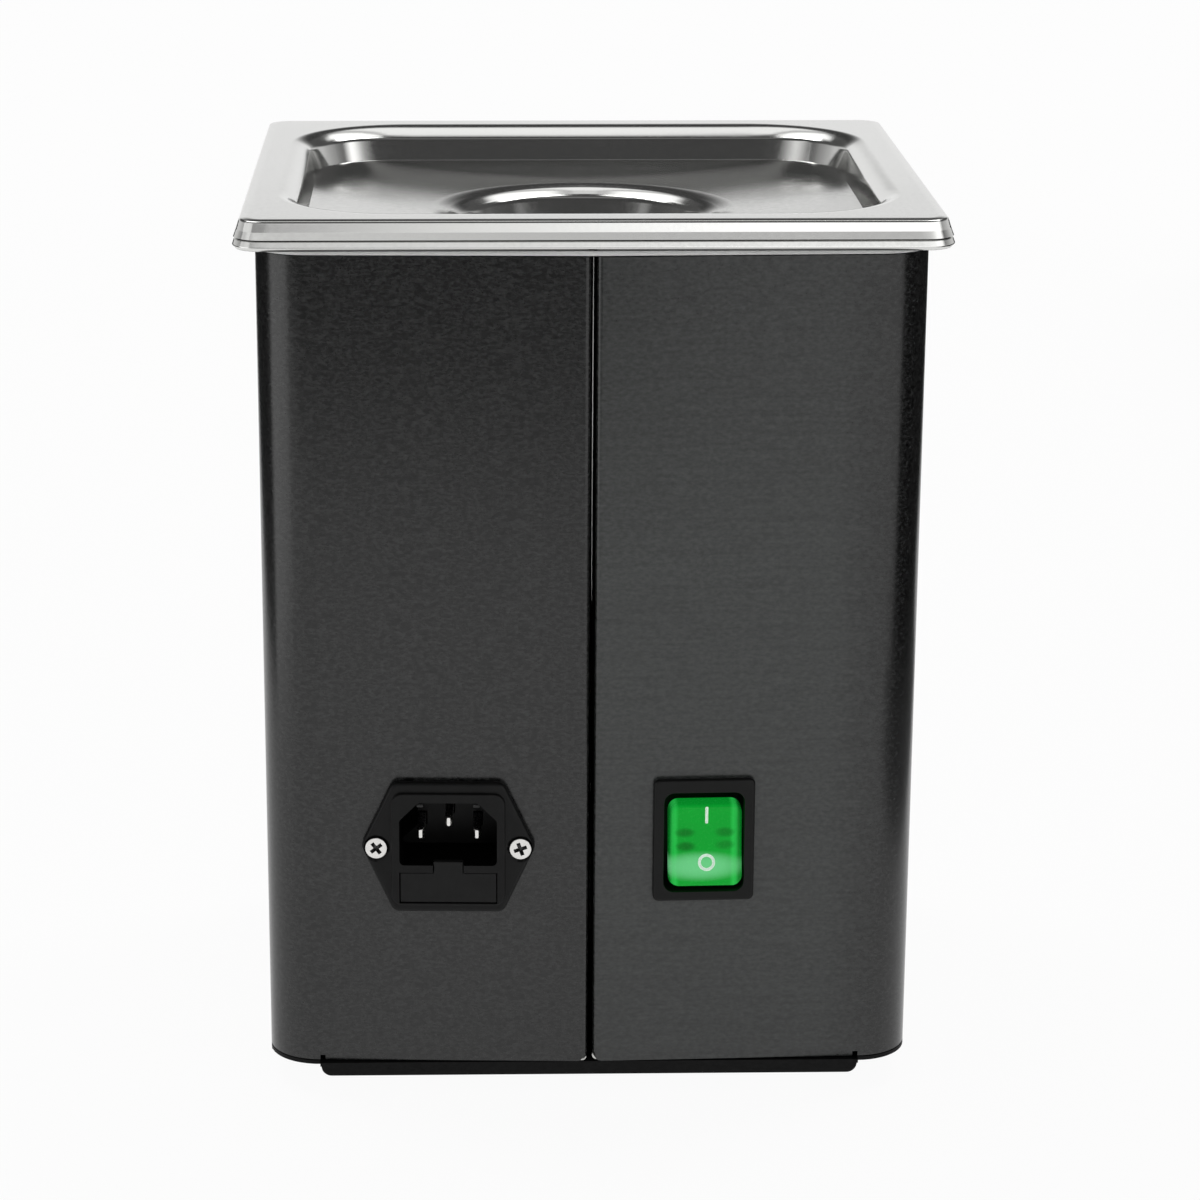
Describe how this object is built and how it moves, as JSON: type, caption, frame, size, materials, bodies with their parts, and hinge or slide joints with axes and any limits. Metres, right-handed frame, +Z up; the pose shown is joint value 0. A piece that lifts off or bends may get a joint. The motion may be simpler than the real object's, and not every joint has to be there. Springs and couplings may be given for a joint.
{
  "type": "ultrasonic cleaner",
  "caption": "Bench-top ultrasonic cleaner: pressed steel tank and lift-off lid on a tall black sheet-metal housing, with fused mains inlet, lit rocker switch and push-button panel.",
  "frame": {"origin": "on the ground under the feet, below the middle of the tank's rim", "axes": "+Z up, -Y out of the control panel at the front, +Y out of the back with the inlet and switch, +X towards the inlet side"},
  "size_m": [0.172, 0.158, 0.2244],
  "materials": {
    "housing_paint": "black paint with a fine level grain",
    "base_paint": "black paint",
    "lid_steel": "bright pressed stainless steel",
    "tank_steel": "bright pressed stainless steel",
    "strap_steel": "bright stainless strip",
    "seal_grey": "pale grey edge trim",
    "foot_rubber": "matt black rubber",
    "inlet_plastic": "black moulded plastic",
    "drawer_plastic": "black moulded plastic",
    "switch_plastic": "black moulded plastic",
    "green_lens": "lit green plastic with white marks",
    "screw_metal": "nickel plate",
    "pin_metal": "nickel plate",
    "terminal_brass": "bare brass",
    "fuse_glass": "clear tube with plated caps",
    "panel_plastic": "dark grey moulded plastic",
    "window_plastic": "dark tinted window",
    "display_plastic": "black display block",
    "button_plastic": "light grey moulded plastic",
    "board_laminate": "green circuit board",
    "works_aluminium": "turned or extruded",
    "works_steel": "turned steel",
    "piezo_ceramic": null,
    "heater_silicone": "red-brown silicone mat",
    "cutout_plastic": "black moulded case",
    "coil_varnish": "varnished winding on a core",
    "can_sleeve": "dark sleeve",
    "lead_brown": "brown insulation",
    "lead_blue": "blue insulation",
    "lead_earth": "green and yellow insulation",
    "lead_red": "red insulation"
  },
  "bodies": {
    "housing_body": {"housing_shell": "housing_paint", "base_plate": "base_paint", "foot_1": "foot_rubber", "foot_2": "foot_rubber", "foot_3": "foot_rubber", "foot_4": "foot_rubber", "base_screw_1": "screw_metal", "base_screw_2": "screw_metal", "base_screw_3": "screw_metal", "base_screw_4": "screw_metal", "tank": "tank_steel", "rim_seal": "seal_grey", "inlet_body": "inlet_plastic", "inlet_pin_live": "pin_metal", "inlet_pin_neutral": "pin_metal", "inlet_pin_earth": "pin_metal", "inlet_screw_1": "screw_metal", "inlet_screw_2": "screw_metal", "inlet_nut_1": "screw_metal", "inlet_nut_2": "screw_metal", "switch_frame": "switch_plastic", "switch_terminal_1": "terminal_brass", "switch_terminal_2": "terminal_brass", "switch_terminal_3": "terminal_brass", "switch_terminal_4": "terminal_brass", "control_fascia": "panel_plastic", "display_window": "window_plastic", "display_module": "display_plastic", "control_board": "board_laminate", "transducer_head": "works_aluminium", "piezo_ring_1": "piezo_ceramic", "piezo_ring_2": "piezo_ceramic", "electrode_1": "terminal_brass", "electrode_2": "terminal_brass", "transducer_tail": "works_steel", "transducer_bolt": "screw_metal", "heater_pad": "heater_silicone", "thermal_cutout": "cutout_plastic", "driver_board": "board_laminate", "board_standoff_1": "terminal_brass", "board_standoff_2": "terminal_brass", "board_standoff_3": "terminal_brass", "board_standoff_4": "terminal_brass", "heat_sink": "works_aluminium", "transformer": "coil_varnish", "capacitor": "can_sleeve", "lead_neutral": "lead_blue", "lead_live": "lead_brown", "lead_earth": "lead_earth", "lead_transducer": "lead_red"},
    "lid_body": {"lid": "lid_steel", "lid_handle": "strap_steel"},
    "rocker_body": {"power_rocker": "green_lens"},
    "drawer_body": {"fuse_drawer": "drawer_plastic", "fuse": "fuse_glass"},
    "button_body_1": {"button_1": "button_plastic"},
    "button_body_2": {"button_2": "button_plastic"},
    "button_body_3": {"button_3": "button_plastic"},
    "button_body_4": {"button_4": "button_plastic"},
    "button_body_5": {"button_5": "button_plastic"}
  },
  "joints": [
    {"name": "lid_lift", "type": "slide", "parent": "housing_body", "child": "lid_body", "axis": [0, 0, 1], "range_m": [0, 0.12]},
    {"name": "rocker_turn", "type": "hinge", "parent": "housing_body", "child": "rocker_body", "pos_m": [-0.02797, 0.07386, 0.0684], "axis": [-0.9994, -0.0337, 0], "range_deg": [0, 15]},
    {"name": "drawer_pull", "type": "slide", "parent": "housing_body", "child": "drawer_body", "axis": [0.0337, 0.9994, 0], "range_m": [0, 0.014]},
    {"name": "button_press_1", "type": "slide", "parent": "housing_body", "child": "button_body_1", "axis": [0, 1, 0], "range_m": [0, 0.0008], "stiffness_N_per_m": 400, "springref_m": -0.0005},
    {"name": "button_press_2", "type": "slide", "parent": "housing_body", "child": "button_body_2", "axis": [0, 1, 0], "range_m": [0, 0.0008], "stiffness_N_per_m": 400, "springref_m": -0.0005},
    {"name": "button_press_3", "type": "slide", "parent": "housing_body", "child": "button_body_3", "axis": [0, 1, 0], "range_m": [0, 0.0008], "stiffness_N_per_m": 400, "springref_m": -0.0005},
    {"name": "button_press_4", "type": "slide", "parent": "housing_body", "child": "button_body_4", "axis": [0, 1, 0], "range_m": [0, 0.0008], "stiffness_N_per_m": 400, "springref_m": -0.0005},
    {"name": "button_press_5", "type": "slide", "parent": "housing_body", "child": "button_body_5", "axis": [0, 1, 0], "range_m": [0, 0.0008], "stiffness_N_per_m": 400, "springref_m": -0.0005}
  ]
}
